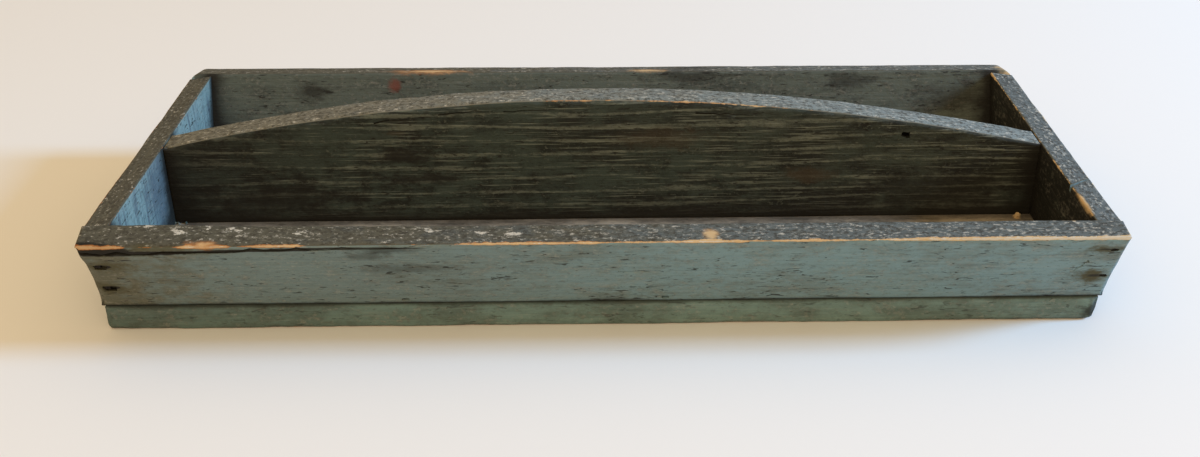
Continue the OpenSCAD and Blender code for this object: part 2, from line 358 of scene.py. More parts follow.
def board_points(local, size, radii, exposure, seed, swell=(1, 1), reach=0.0045):
    """Rounds the arrises of a board's own box and says how exposed each point is to rubbing. The
    two swells make the rounding stronger or weaker at the ends of u."""
    size = np.asarray(size)
    far = local > size / 2
    depth = np.where(far, size - local, local)
    face = np.arange(3) * 2 + far
    # The rounding grows and shrinks every 21 mm or so along an arris, and less every 6 mm
    ripple = 1 + 0.35 * lattice_noise(local, 0.021, seed) + 0.2 * lattice_noise(local, 0.006, seed + 1)
    total_r = np.zeros(len(local))
    total_w = np.zeros(len(local))
    rubbed = np.zeros(len(local))
    for i, j in ((0, 1), (1, 2), (0, 2)):
        pull = 1 / (np.maximum(depth[:, i], 0) + depth[:, j] + 1e-4) ** 3
        total_r += radii[face[:, i], face[:, j]] * pull
        total_w += pull
        away = np.hypot(depth[:, i], depth[:, j])
        rubbed = np.maximum(rubbed, exposure[face[:, i], face[:, j]] * np.exp(-away / reach))
    # Knocks are the peaks of another noise, and fall only on arrises that are open to wear
    knock = np.clip(lattice_noise(local, 0.009, seed + 2) - 0.62, 0, 1) * 2.6
    ripple *= np.interp(local[:, 0] / size[0], (0, 1), swell)
    r = total_r / total_w * ripple + knock * wear().dents * (total_r / total_w > 0.001)
    r = np.clip(r, 0.0002, size.min() * 0.45)[:, None]
    core = np.clip(local, r, size - r)
    out = local - core
    norm = np.linalg.norm(out, axis=1, keepdims=True)
    return np.where(norm > 0, core + out / np.maximum(norm, 1e-9) * r, local), rubbed, face, depth


def blended(a, b, share):
    """Points part of the way from a to b."""
    return a + (b - a) * share[:, None]


def linked(name, data):
    """A new object of some data, linked to the scene."""
    made = bpy.data.objects.new(name, data)
    bpy.context.scene.collection.objects.link(made)
    return made


def make_board(name, size, place, radii, exposure, seed, cells=1.0, rim_face=None, inner_faces=(),
               bared=None, corners=None, swell=(1, 1)):
    """A board of a size in its own box, which place() sets in the world, with worn arrises, long
    plane ripples and the attributes that its paint reads: rubbed, nook, rim and inside. Where
    given, corners() names whole corners to round off, and bared() says how far arrises are bare."""
    w = wear()
    # The mesh is fine within this distance of an arris
    border = 0.0052
    lines = [grid_lines(size[0], w.fine_cell, w.grain_cell * cells, border),
             grid_lines(size[1], w.fine_cell, w.coarse_cell * cells, border),
             grid_lines(size[2], w.fine_cell, w.coarse_cell, border)]
    local, quads = box_surface(lines)
    shaped, rubbed, face, depth = board_points(local, size, pair_tables(w.joint, radii),
                                               pair_tables(0.1, exposure), seed, swell)
    round_off(shaped, size, corners(local) if corners else {})
    world = place(shaped / size)
    flat = local / size
    outward = place(flat) - place(np.clip(flat, 0.02, 0.98))
    outward /= np.maximum(np.linalg.norm(outward, axis=1, keepdims=True), 1e-9)
    long_cell = np.array([0.09, 0.03, 0.03])
    wander = lattice_noise(world, long_cell, seed + 5)
    wander = wander + 0.4 * lattice_noise(world, long_cell / 3, seed + 6)
    world += outward * (wander * w.plane_ripple)[:, None]
    if bared is not None:
        rubbed = rubbed * bared(world)
    tag = np.zeros((len(local), 6))
    for a in range(3):
        for side in range(2):
            tag[:, 2 * a + side] = (depth[:, a] < 1e-7) & (face[:, a] == 2 * a + side)
    weight = tag / np.maximum(tag.sum(axis=1, keepdims=True), 1)
    rim = weight[:, rim_face] if rim_face is not None else np.zeros(len(local))
    inside = sum((weight[:, f] for f in inner_faces), np.zeros(len(local)))
    # What stands out past the frame, such as the bottom board's lip, isn't inside
    x, y, z = np.abs(world).T
    inside = inside * (y < side_outer(z) - 3 * MM) * (x < end_outer(z) - 3 * MM)
    # The paint's darkening: dirt and painted shade in the inner corners, and a dark line of dirt along the
    # outside of the joint
    dirt = nook(world) * np.minimum(inside * 2, 1) + seam(world) * (1 - inside) * (1 - rim)
    mesh = bpy.data.meshes.new(name)
    mesh.from_pydata(world.tolist(), [], quads.tolist())
    for key, values in (("rubbed", rubbed), ("nook", dirt), ("rim", rim), ("inside", inside)):
        mesh.attributes.new(key, "FLOAT", "POINT").data.foreach_set("value", values.astype(np.float32))
    mesh.shade_smooth()
    return linked(name, mesh)


def nook(world):
    """How deep in an inner corner a point lies, from 0 in the open to 1 where boards meet. The paint is
    darkened by it there: dirt and painted shade.
    """
    s = sizes()
    x, y, z = np.abs(world[:, 0]), world[:, 1], world[:, 2]
    gaps = (np.abs(z - JOINT_Z), np.abs(x - end_inner(z)), np.abs(np.abs(y) - side_inner(z)),
            np.abs(np.abs(y - s.divider_shift) - s.divider_thickness / 2))
    close = sum(np.exp(-g / 0.007) for g in gaps)
    return np.clip(close - 1, 0, 1)


def seam(world):
    """The dark line of dirt along the outside of the joint."""
    return np.exp(-np.abs(world[:, 2] - JOINT_Z) / 0.0010)


def nail_heads(node, axis, sign):
    """Centres of the heads of a group's nails, read from its node in the frame. The nails are
    driven along the axis, in the direction of the sign."""
    co = np.array([v.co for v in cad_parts[node].data.vertices])
    across = [a for a in range(3) if a != axis]
    apart = 6 * MM
    groups = []
    for point in co:
        for group in groups:
            if np.all(np.abs(group[0][across] - point[across]) < apart):
                group.append(point)
                break
        else:
            groups.append([point])
    heads = []
    for group in groups:
        group = np.array(group)
        centre = (group.min(0) + group.max(0)) / 2
        length_in = group[:, axis].max() - group[:, axis].min()
        centre[axis] = group[:, axis].min() if sign > 0 else group[:, axis].max()
        if axis == 1:
            # The worn face lies a little inside the new one, and the head is sunk under it
            worn = side_outer(centre[2]) - SUNK
            length_in -= abs(centre[1]) - worn
            centre[1] = -sign * worn
        heads.append((centre, length_in))
    return heads


# Each group of nails: its node, the axis and direction it is driven in, its board, and how much
# wider and taller than its head the hole is torn, and how far towards the middle of the box
NAIL_GROUPS = [
    ("front_left_corner_nails", 1, 1, "front_side_board", 1.3, 1.35, 0.0022),
    ("front_right_corner_nails", 1, 1, "front_side_board", 0.62, 0.6, 0.0005),
    ("back_left_corner_nails", 1, -1, "back_side_board", 1.1, 1.1, 0.0005),
    ("back_right_corner_nails", 1, -1, "back_side_board", 1.2, 1.2, 0.001),
    ("left_divider_nails", 0, 1, "left_end_board", 1.1, 1.1, 0.0),
    ("right_divider_nails", 0, -1, "right_end_board", 1.1, 1.1, 0.0),
    ("front_bottom_nails", 2, 1, "bottom_board", 1.0, 1.0, 0.0),
    ("back_bottom_nails", 2, 1, "bottom_board", 1.0, 1.0, 0.0),
    ("left_bottom_nails", 2, 1, "bottom_board", 1.0, 1.0, 0.0),
    ("right_bottom_nails", 2, 1, "bottom_board", 1.0, 1.0, 0.0),
    ("divider_bottom_nails", 2, 1, "bottom_board", 1.0, 1.0, 0.0),
]


def prism(bm, outline, depth, place):
    """Adds a closed prism: an outline in its own x, y stretched to the given depth along z."""
    low = [bm.verts.new(place @ Vector((x, y, 0))) for x, y in outline]
    high = [bm.verts.new(place @ Vector((x, y, depth))) for x, y in outline]
    n = len(outline)
    bm.faces.new(low[::-1])
    bm.faces.new(high)
    for i in range(n):
        bm.faces.new((low[i], low[(i + 1) % n], high[(i + 1) % n], high[i]))


def ragged_outline(half_x, half_y, sides, rough, rng):
    """A torn outline about a squarish oval."""
    points = []
    for i in range(sides):
        t = 2 * math.pi * i / sides
        swell = 1 + rng.uniform(-rough, rough)
        c, s = math.cos(t), math.sin(t)
        points.append((half_x * math.copysign(abs(c) ** 0.6, c) * swell,
                       half_y * math.copysign(abs(s) ** 0.6, s) * swell))
    return points


def aim(direction, wide):
    """Matrix whose z looks along a direction and whose x lies along the wide way."""
    z = Vector(direction).normalized()
    x = Vector(wide).normalized()
    y = z.cross(x).normalized()
    x = y.cross(z)
    return Matrix((x, y, z)).transposed().to_4x4()


def nail_hole_cutters(bm, board, rng):
    """Adds the torn hole of each nail that is driven into a board."""
    n = bpy.context.scene.knife_box_nails
    outside = 4 * MM
    for node, axis, sign, through, wider, taller, inward in NAIL_GROUPS:
        if board != through:
            continue
        drive = Vector([0, 0, 0])
        drive[axis] = sign
        wide = (0, 1, 0) if axis == 0 else (1, 0, 0)
        for head, _ in nail_heads(node, axis, sign):
            outline = ragged_outline(n.head_width / 2 * wider + n.hole_slack,
                                     n.plate / 2 * taller + n.hole_slack, 14, 0.2, rng)
            start = Vector(head) - drive * outside
            start.x -= math.copysign(inward, start.x)
            prism(bm, outline, outside + n.head_depth * 1.2, Matrix.Translation(start) @ aim(drive, wide))


def applied(piece):
    """The plain mesh that a piece's modifiers make. They are removed from the piece."""
    depsgraph = bpy.context.evaluated_depsgraph_get()
    made = bpy.data.meshes.new_from_object(piece.evaluated_get(depsgraph))
    piece.modifiers.clear()
    return made


def cut(piece, bm):
    """Takes the closed solids in bm out of a piece."""
    bmesh.ops.recalc_face_normals(bm, faces=bm.faces)
    tool_mesh = bpy.data.meshes.new("cutters")
    bm.to_mesh(tool_mesh)
    bm.free()
    tool = linked("cutters", tool_mesh)
    change = piece.modifiers.new("cut", "BOOLEAN")
    change.operation = "DIFFERENCE"
    change.solver = "EXACT"
    change.object = tool
    made = applied(piece)
    old = piece.data
    if len(made.vertices) < len(old.vertices) / 2:
        raise RuntimeError("the cutters took most of " + piece.name)
    made.name = old.name
    piece.data = made
    bpy.data.meshes.remove(old)
    bpy.data.objects.remove(tool)
    bpy.data.meshes.remove(tool_mesh)
    piece.data.shade_smooth()
    piece.data.set_sharp_from_angle(angle=math.radians(50))


def finish_board(piece, node, material):
    """Gives a board the frame's taper, keeps it within its node's length and width and the box's
    height, and hands it to the frame."""
    lo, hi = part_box(node)
    co = np.empty(len(piece.data.vertices) * 3, np.float32)
    piece.data.vertices.foreach_get("co", co)
    co = tapered(co.reshape(-1, 3))
    co = np.clip(co, (lo.x, lo.y, CAD_BOX[0][2]), (hi.x, hi.y, CAD_BOX[1][2]))
    piece.data.vertices.foreach_set("co", co.ravel())
    piece.data.update()
    piece.data.materials.clear()
    piece.data.materials.append(material)
    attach(piece, "root")
    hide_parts(node)


def add(tree, kind, links=None, out=0, **settings):
    """Adds a node, sets it up, links or fills its inputs, and gives back one of its outputs."""
    node = tree.nodes.new(kind)
    for key, value in settings.items():
        setattr(node, key, value)
    for key, value in (links or {}).items():
        if isinstance(value, bpy.types.NodeSocket):
            tree.links.new(value, node.inputs[key])
        else:
            node.inputs[key].default_value = value
    return node.outputs[out] if len(node.outputs) else None


# Inputs of a colour mix node, with its settings, and inputs of a map range node
MIX_SHARE, MIX_A, MIX_B = 0, 6, 7
COLOUR_MIX = {"out": 2, "data_type": "RGBA"}
VALUE, FROM_MIN, FROM_MAX, TO_MIN, TO_MAX = range(5)


def coat(tint, low, high, share=1.0, start=0.0, spot=None, **terms):
    """One coat of paint, dirt or wear. It lies where start and the weighted terms add up to high,
    fades out at low, and covers what is under it by share. A spot is an oval place: a centre and
    three radii, whose distance is taken off the sum."""
    return {"tint": tint, "low": low, "high": high, "share": share, "start": start, "spot": spot,
            "terms": terms}


def spots(*marks, low=-1.1, high=-0.3, rough=2.0):
    """Coats that are single marks: a tint, how much it covers, and its centre and radii."""
    return [coat(tint, low, high, share, spot=(centre, radii), patch=rough, start=-rough / 2)
            for tint, share, centre, radii in marks]


# The noises that coats read: millimetres across, times longer along its run, detail, roughness,
# how far it is bent, and whether it runs with the grain (g) or up the board (z)
NOISES = {
    "fibre": (1.0, 30.0, 3.0, 0.62, 0.0, "g"),
    "ring": (3.2, 22.0, 2.0, 0.55, 0.6, "g"),
    "tick": (1.3, 4.5, 2.0, 0.5, 0.8, "g"),
    "cloud": (20.0, 2.4, 5.0, 0.66, 0.0, "g"),
    "patch": (6.0, 1.8, 5.0, 0.70, 0.2, "g"),
    "crust": (1.9, 2.2, 4.0, 0.72, 0.3, "g"),
    "grit": (1.7, 1.5, 3.0, 0.75, 0.0, "g"),
    "brush": (2.6, 9.0, 4.0, 0.60, 0.3, "z"),
}


def read_pattern(tree, key, found, wood):
    """A pattern that coats read: a noise, the lines of the wood's year rings, one of the board's
    own marks, or a place. Each is made once in a material. The wood is given by the axis of its
    grain, the axis across the board, and a seed."""
    if key in found:
        return found[key]
    grain, across, seed = wood
    place = found["place"]
    shift = (seed * 0.37, seed * 0.23, seed * 0.11)
    scale = [1.0, 1.0, 1.0]
    if key in NOISES:
        wide, longer, detail, rough, bent, run = NOISES[key]
        scale["XYZ".index(grain if run == "g" else "Z")] = 1 / longer
        drawn = add(tree, "ShaderNodeMapping", {"Vector": place, "Location": shift, "Scale": scale})
        made = add(tree, "ShaderNodeTexNoise", {"Vector": drawn, "Scale": 1000 / wide, "Detail": detail,
                                                "Roughness": rough, "Distortion": bent})
    elif key == "line":
        # Year rings about 7 mm apart, which crowd and spread every 25 mm or so across the board
        scale["XYZ".index(grain)] = 1 / 13
        drawn = add(tree, "ShaderNodeMapping", {"Vector": place, "Location": shift, "Scale": scale})
        made = add(tree, "ShaderNodeTexWave", {"Vector": drawn, "Scale": 46.0, "Distortion": 12.0,
                                               "Detail": 3.0, "Detail Scale": 0.8,
                                               "Detail Roughness": 0.6},
                   out="Fac", bands_direction=across)
    elif key in "xyz":
        made = add(tree, "ShaderNodeSeparateXYZ", {0: place}, out="xyz".index(key))
    else:
        made = add(tree, "ShaderNodeAttribute", out="Fac", attribute_name=key)
    found[key] = made
    return made


def timber_tint(tree, layer, total, found, wood):
    """Bare pine: pale in the middle of a bare place and orange at its edges, and paler to the
    right."""
    c = colours()
    depth = add(tree, "ShaderNodeMapRange", {VALUE: total, FROM_MIN: layer["low"] + 0.02,
                                             FROM_MAX: layer["high"] + 0.22})
    rings = read_pattern(tree, "ring", found, wood)
    depth = add(tree, "ShaderNodeMath", {0: rings, 1: -1.4, 2: depth}, operation="MULTIPLY_ADD")
    east = read_pattern(tree, "x", found, wood)
    depth = add(tree, "ShaderNodeMath", {0: east, 1: 2.8, 2: depth}, operation="MULTIPLY_ADD")
    depth = add(tree, "ShaderNodeMapRange", {VALUE: depth, FROM_MIN: -0.75, FROM_MAX: 0.1})
    return add(tree, "ShaderNodeMix", {MIX_SHARE: depth, MIX_A: c.wood_deep, MIX_B: c.wood}, **COLOUR_MIX)


def bare_material(name):
    """A new material without nodes, and its node tree."""
    material = bpy.data.materials.new(name)
    material.use_nodes = True
    material.node_tree.nodes.clear()
    return material, material.node_tree


def old_paint(name, wood, base, coats, relief=1.0):
    """Old milk paint over pine, as coats laid one over the other on a base colour. It is dry and
    chalky, so it has next to no gloss, and the raised grain and crumbling edges catch the light."""
    material, tree = bare_material(name)
    place = add(tree, "ShaderNodeTexCoord", out="Object")
    found = {"place": place}
    tone = base
    share = 0.0
    for layer in coats:
        total = layer["start"]
        if layer["spot"]:
            centre, radii = layer["spot"]
            near = add(tree, "ShaderNodeMapping", {"Vector": place, "Location": centre, "Scale": radii},
                       vector_type="TEXTURE")
            far = add(tree, "ShaderNodeVectorMath", {0: near}, out="Value", operation="LENGTH")
            total = add(tree, "ShaderNodeMath", {0: far, 1: -1.0, 2: total}, operation="MULTIPLY_ADD")
        for key, weight in layer["terms"].items():
            read = read_pattern(tree, key, found, wood)
            total = add(tree, "ShaderNodeMath", {0: read, 1: weight, 2: total}, operation="MULTIPLY_ADD")
        ramp = {VALUE: total, FROM_MIN: layer["low"], FROM_MAX: layer["high"], TO_MAX: layer["share"]}
        share = add(tree, "ShaderNodeMapRange", ramp, interpolation_type="SMOOTHSTEP")
        tint = layer["tint"]
        if tint == "timber":
            tint = timber_tint(tree, layer, total, found, wood)
        tone = add(tree, "ShaderNodeMix", {MIX_SHARE: share, MIX_A: tone, MIX_B: tint}, **COLOUR_MIX)
    height = 0.0
    for key, weight in (("fibre", 0.45), ("line", 0.12), ("crust", 0.45), ("grit", 0.35)):
        read = read_pattern(tree, key, found, wood)
        height = add(tree, "ShaderNodeMath", {0: read, 1: weight, 2: height}, operation="MULTIPLY_ADD")
    height = add(tree, "ShaderNodeMath", {0: share, 1: -0.4, 2: height}, operation="MULTIPLY_ADD")
    bump = add(tree, "ShaderNodeBump", {"Height": height, "Strength": 0.6 * relief, "Distance": 0.0008})
    patch = read_pattern(tree, "patch", found, wood)
    rough = add(tree, "ShaderNodeMapRange", {VALUE: patch, FROM_MIN: 0.3, FROM_MAX: 0.7,
                                             TO_MIN: 0.66, TO_MAX: 0.9})
    shader = add(tree, "ShaderNodeBsdfPrincipled", {"Base Color": tone, "Roughness": rough, "Normal": bump,
                                                    "IOR": 1.45, "Specular IOR Level": 0.3})
    add(tree, "ShaderNodeOutputMaterial", {"Surface": shader})
    return material


def grain_coats(c, dashes=0.80):
    """Chalky mottling in the paint, fine lines along the grain, pale where it is raised and dark
    where it has filled with dirt, and short dashes, as dark as given, where the pores opened."""
    return [coat(c.crust, 0.50, 0.66, 0.20, patch=0.4, grit=0.6),
            coat(c.grime_and_shade, 0.50, 0.66, 0.40, crust=0.5, grit=0.5),
            coat(c.grime_and_shade, 0.52, 0.72, 0.16, fibre=1.0),
            coat(c.crust, 0.52, 0.74, 0.07, fibre=-1.0, start=1.0),
            coat(c.grime_and_shade, 0.600, 0.645, dashes, tick=0.75, cloud=0.25),
            coat(c.grime_and_shade, 0.82, 1.00, 0.16, line=0.5, patch=0.5, cloud=0.3)]


def rim_coats(c, warm, cool):
    """Rubbed paint on the rim: brown at the left and blue-grey at the right, worn down to dark and
    pale grit, with a few drawn-out clumps of an older pale coat. The gate keeps them off the
    faces, because it is only reached where a point is wholly on the rim."""
    gate = -3.0
    rim = {"rim": 3.0, "start": 2 * gate}
    return [coat(warm, -0.35, -0.1, rim=1.0, start=-0.7, patch=0.4),
            coat(cool, gate + 0.40, gate + 0.80, rim=3.0, start=2 * gate + 0.2, x=1.4, patch=0.8),
            coat(c.rim_dark, gate + 0.48, gate + 0.60, 0.80, **rim, grit=0.7, crust=0.3),
            coat(c.rim_dark, gate + 0.50, gate + 0.66, 0.5, **rim, patch=0.6, cloud=0.4),
            coat(c.crust, gate + 0.53, gate + 0.65, 0.70, rim=3.0, start=2 * gate + 0.6, grit=-0.6,
                 crust=0.4, x=0.05),
            coat(c.crust, gate + 0.60, gate + 0.66, 0.85, **rim, crust=0.62, patch=0.38)]


def wear_coats(c, level, dirt=0.93):
    """Dirt and painted shade in the inner corners, dirt in the seam, then bare wood along the rubbed
    arrises, in patches, and crumbs of pale paint left on it."""
    # The first coat darkens the inner corners with dirt and painted shade, and the seam with dirt
    return [coat(c.grime_and_shade, 0.10, 0.80, dirt, nook=1.0, cloud=1.2, start=-0.6),
            coat("timber", level, level + 0.06, 0.88, rubbed=1.7, cloud=0.6, crust=0.8, patch=0.7,
                 start=-1.51),
            coat(c.crust, level + 0.06, level + 0.12, 0.8, rubbed=1.2, grit=1.0, crust=0.5, x=0.8,
                 start=-1.10)]


def rusted_iron(name):
    """Old cut nails: dark forged iron with brighter rust in its pits, and no shine left."""
    c = colours()
    material, tree = bare_material(name)
    place = add(tree, "ShaderNodeTexCoord", out="Object")
    pits = add(tree, "ShaderNodeTexNoise", {"Vector": place, "Scale": 1400.0, "Detail": 4.0})
    share = add(tree, "ShaderNodeMapRange", {VALUE: pits, FROM_MIN: 0.45, FROM_MAX: 0.65})
    tone = add(tree, "ShaderNodeMix", {MIX_SHARE: share, MIX_A: c.iron, MIX_B: c.rust}, **COLOUR_MIX)
    bump = add(tree, "ShaderNodeBump", {"Height": pits, "Strength": 0.7, "Distance": 0.0003})
    shader = add(tree, "ShaderNodeBsdfPrincipled", {"Base Color": tone, "Roughness": 0.85, "Normal": bump,
                                                    "Metallic": 0.3})
    add(tree, "ShaderNodeOutputMaterial", {"Surface": shader})
    return material


def side_board(node, sign, material, seed, bared, scars=None):
    """One leaning side board between its foot line and its rim."""
    s, w = sizes(), wear()
    front = sign < 0
    rim = FRONT_RIM if front else ((-1, 1), (s.back_rim, s.back_rim))
    edge = FRONT_ARRIS if front else ((-1, 1), (s.back_arris, s.back_arris))

    def place(share):
        u, v, t = share.T
        x = (2 * u - 1) * s.half_length * (-1 if front else 1)
        top, arris = np.interp(x, *rim), np.interp(x, *edge)
        none = 0 * x
        inner = blended(np.stack([none, none + side_inner(JOINT_Z), none + JOINT_Z], 1),
                        np.stack([none, side_inner(top), top], 1), v)
        outer = blended(np.stack([none, none + side_outer(JOINT_Z), none + JOINT_Z], 1),
                        np.stack([none, np.minimum(side_outer(arris), FRONT_REACH), arris], 1), v)
        world = blended(inner, outer, t)
        # The ends' outer corners are worn back, most at the right front foot
        back = BACK_ENDS_WORN
        if front:
            back = FRONT_ENDS_WORN + np.where(x > 0, RIGHT_END_WORN + RIGHT_FOOT_WORN * (1 - v), 0)
        world[:, 0] = x * (end_outer(world[:, 2]) - back * (0.3 + 0.7 * t)) / s.half_length
        world[:, 1] *= sign
        return world

    slope = (s.rim_height - JOINT_Z) / math.cos(s.side_splay)
    size = np.array([2 * s.half_length, slope, s.side_thickness])
    radii = {(V1, W1): w.rim_outer, (V1, W0): w.rim_inner, (V0, W1): FOOT_RADIUS}
    exposure = {(V1, W1): 1.0, (V1, W0): 0.6}
    for end in (U0, U1):
        radii.update({(end, V1): RIM_END_RADIUS, (end, W1): w.end_arris})
        exposure.update({(end, V1): 0.6, (end, W1): 0.45})
    corner = w.front_corner if front else w.back_corner
    piece = make_board(node + ".planed", size, place, radii, exposure, seed, rim_face=V1, inner_faces=(W0,),
                       bared=bared, swell=FRONT_SWELL if front else (1, 1),
                       corners=lambda local: {(U0, V1): corner, (U1, V1): corner})
    rng = random.Random(seed)
    bm = bmesh.new()
    nail_hole_cutters(bm, node, rng)
    if scars:
        scars(bm, rng)
    cut(piece, bm)
    finish_board(piece, node, material)


def crack(bm, path, outward, width, depth, rng, step=0.0035):
    """Adds a jagged wedge along a split that follows a path, widest at its start and closing
    towards its end."""
    path = np.array([tuple(p) for p in path])
    outward = Vector(outward).normalized()
    run = np.concatenate([[0], np.cumsum(np.linalg.norm(np.diff(path, axis=0), axis=1))])
    steps = max(4, round(run[-1] / step))
    outside = 1.2 * MM
    rings = []
    for i in range(steps + 1):
        t = i / steps
        centre = Vector([np.interp(t * run[-1], run, path[:, a]) for a in range(3)])
        ahead = Vector([np.interp(min(t + 0.02, 1) * run[-1], run, path[:, a])
                        - np.interp(max(t - 0.02, 0) * run[-1], run, path[:, a]) for a in range(3)])
        across = outward.cross(ahead).normalized()
        centre += across * rng.uniform(-0.5, 0.5) * width * (0 if i in (0, steps) else 1)
        half = width / 2 * max(0.14, (1 - t) ** 0.6) * rng.uniform(0.7, 1.3)
        deep = depth * max(0.25, 1 - t)
        slope = 1 + outside / deep
        rings.append([bm.verts.new(centre + outward * outside - across * half * slope),
                      bm.verts.new(centre + outward * outside + across * half * slope),
                      bm.verts.new(centre - outward * deep)])
    for a, b in zip(rings, rings[1:]):
        for i in range(3):
            j = (i + 1) % 3
            bm.faces.new((a[i], a[j], b[j], b[i]))
    bm.faces.new(rings[0][::-1])
    bm.faces.new(rings[-1])


def front_scars(bm, rng):
    """The long split under the rim's left half, two oblique cuts, a scratch and two chips."""
    s = sizes()
    lean = Vector((0, -math.cos(s.side_splay), -math.sin(s.side_splay)))

    def on_face(x, z):
        return Vector((x, -min(side_outer(z), FRONT_REACH), z))

    split = [on_face(x, z) for x, z in ((-0.2310, 0.0448), (-0.2050, 0.0450), (-0.1830, 0.0458),
                                        (-0.1610, 0.0465), (-0.1310, 0.0474), (-0.1090, 0.0477),
                                        (-0.0740, 0.0484))]
    crack(bm, split, lean, 0.0019, 0.0060, rng, 0.0065)
    crack(bm, [on_face(0.2137, 0.0369), on_face(0.2112, 0.0340)], lean, 0.0017, 0.0024, rng)
    crack(bm, [on_face(0.2120, 0.0335), on_face(0.2087, 0.0297)], lean, 0.0013, 0.0020, rng)
    crack(bm, [on_face(0.0065, 0.0321), on_face(0.0211, 0.0319)], lean, 0.0006, 0.0006, rng)
    for x in (-0.0899, 0.0283):
        outline = ragged_outline(0.0019, 0.0011, 9, 0.3, rng)
        place = Matrix.Translation(on_face(x, JOINT_Z + 0.0026) + lean * 0.002) @ aim(-lean, (1, 0, 0))
        prism(bm, outline, 0.0032, place)


# How far the front rim's outer arris is rubbed bare, along X
FRONT_BARED = ((-0.230, -0.212, -0.205, -0.188, -0.181, -0.166, -0.160, -0.153, -0.134, -0.128, -0.066,
                -0.058, -0.008, 0.006, 0.034, 0.047, 0.058, 0.066, 0.076, 0.092, 0.100, 0.112, 0.126,
                0.160, 0.230),
               (0.98, 0.98, 0.66, 0.68, 1.05, 1.05, 0.70, 0.96, 0.94, 0.62, 0.64, 0.86,
                0.86, 0.76, 0.88, 1.02, 0.88, 0.78, 0.86, 0.84, 0.78, 0.80, 0.86, 0.96, 1.10))


def front_bared(world):
    """How far the front board's arrises are rubbed bare: the wood shows on the rim's side of them
    and on their rounding, and hardly on the face below."""
    x = world[:, 0]
    below = np.clip((np.interp(x, *FRONT_ARRIS) - world[:, 2] - 0.0012) / 0.0008, 0, 1)
    return np.interp(x, *FRONT_BARED) * (1 - 0.5 * below)


# White clumps of the older coat along the front rim: where they lie, and how far each reaches
WHITE_CLUMPS = ((-0.1996, -0.0935, 0.007), (-0.1850, -0.098, 0.009), (-0.1615, -0.096, 0.009),
                (-0.1325, -0.098, 0.008), (-0.0760, -0.096, 0.007), (-0.0540, -0.099, 0.007),
                (-0.0400, -0.100, 0.008), (-0.1740, -0.094, 0.006))

# How far the back board's arrises are rubbed bare, all along
BACK_BARED = 0.84


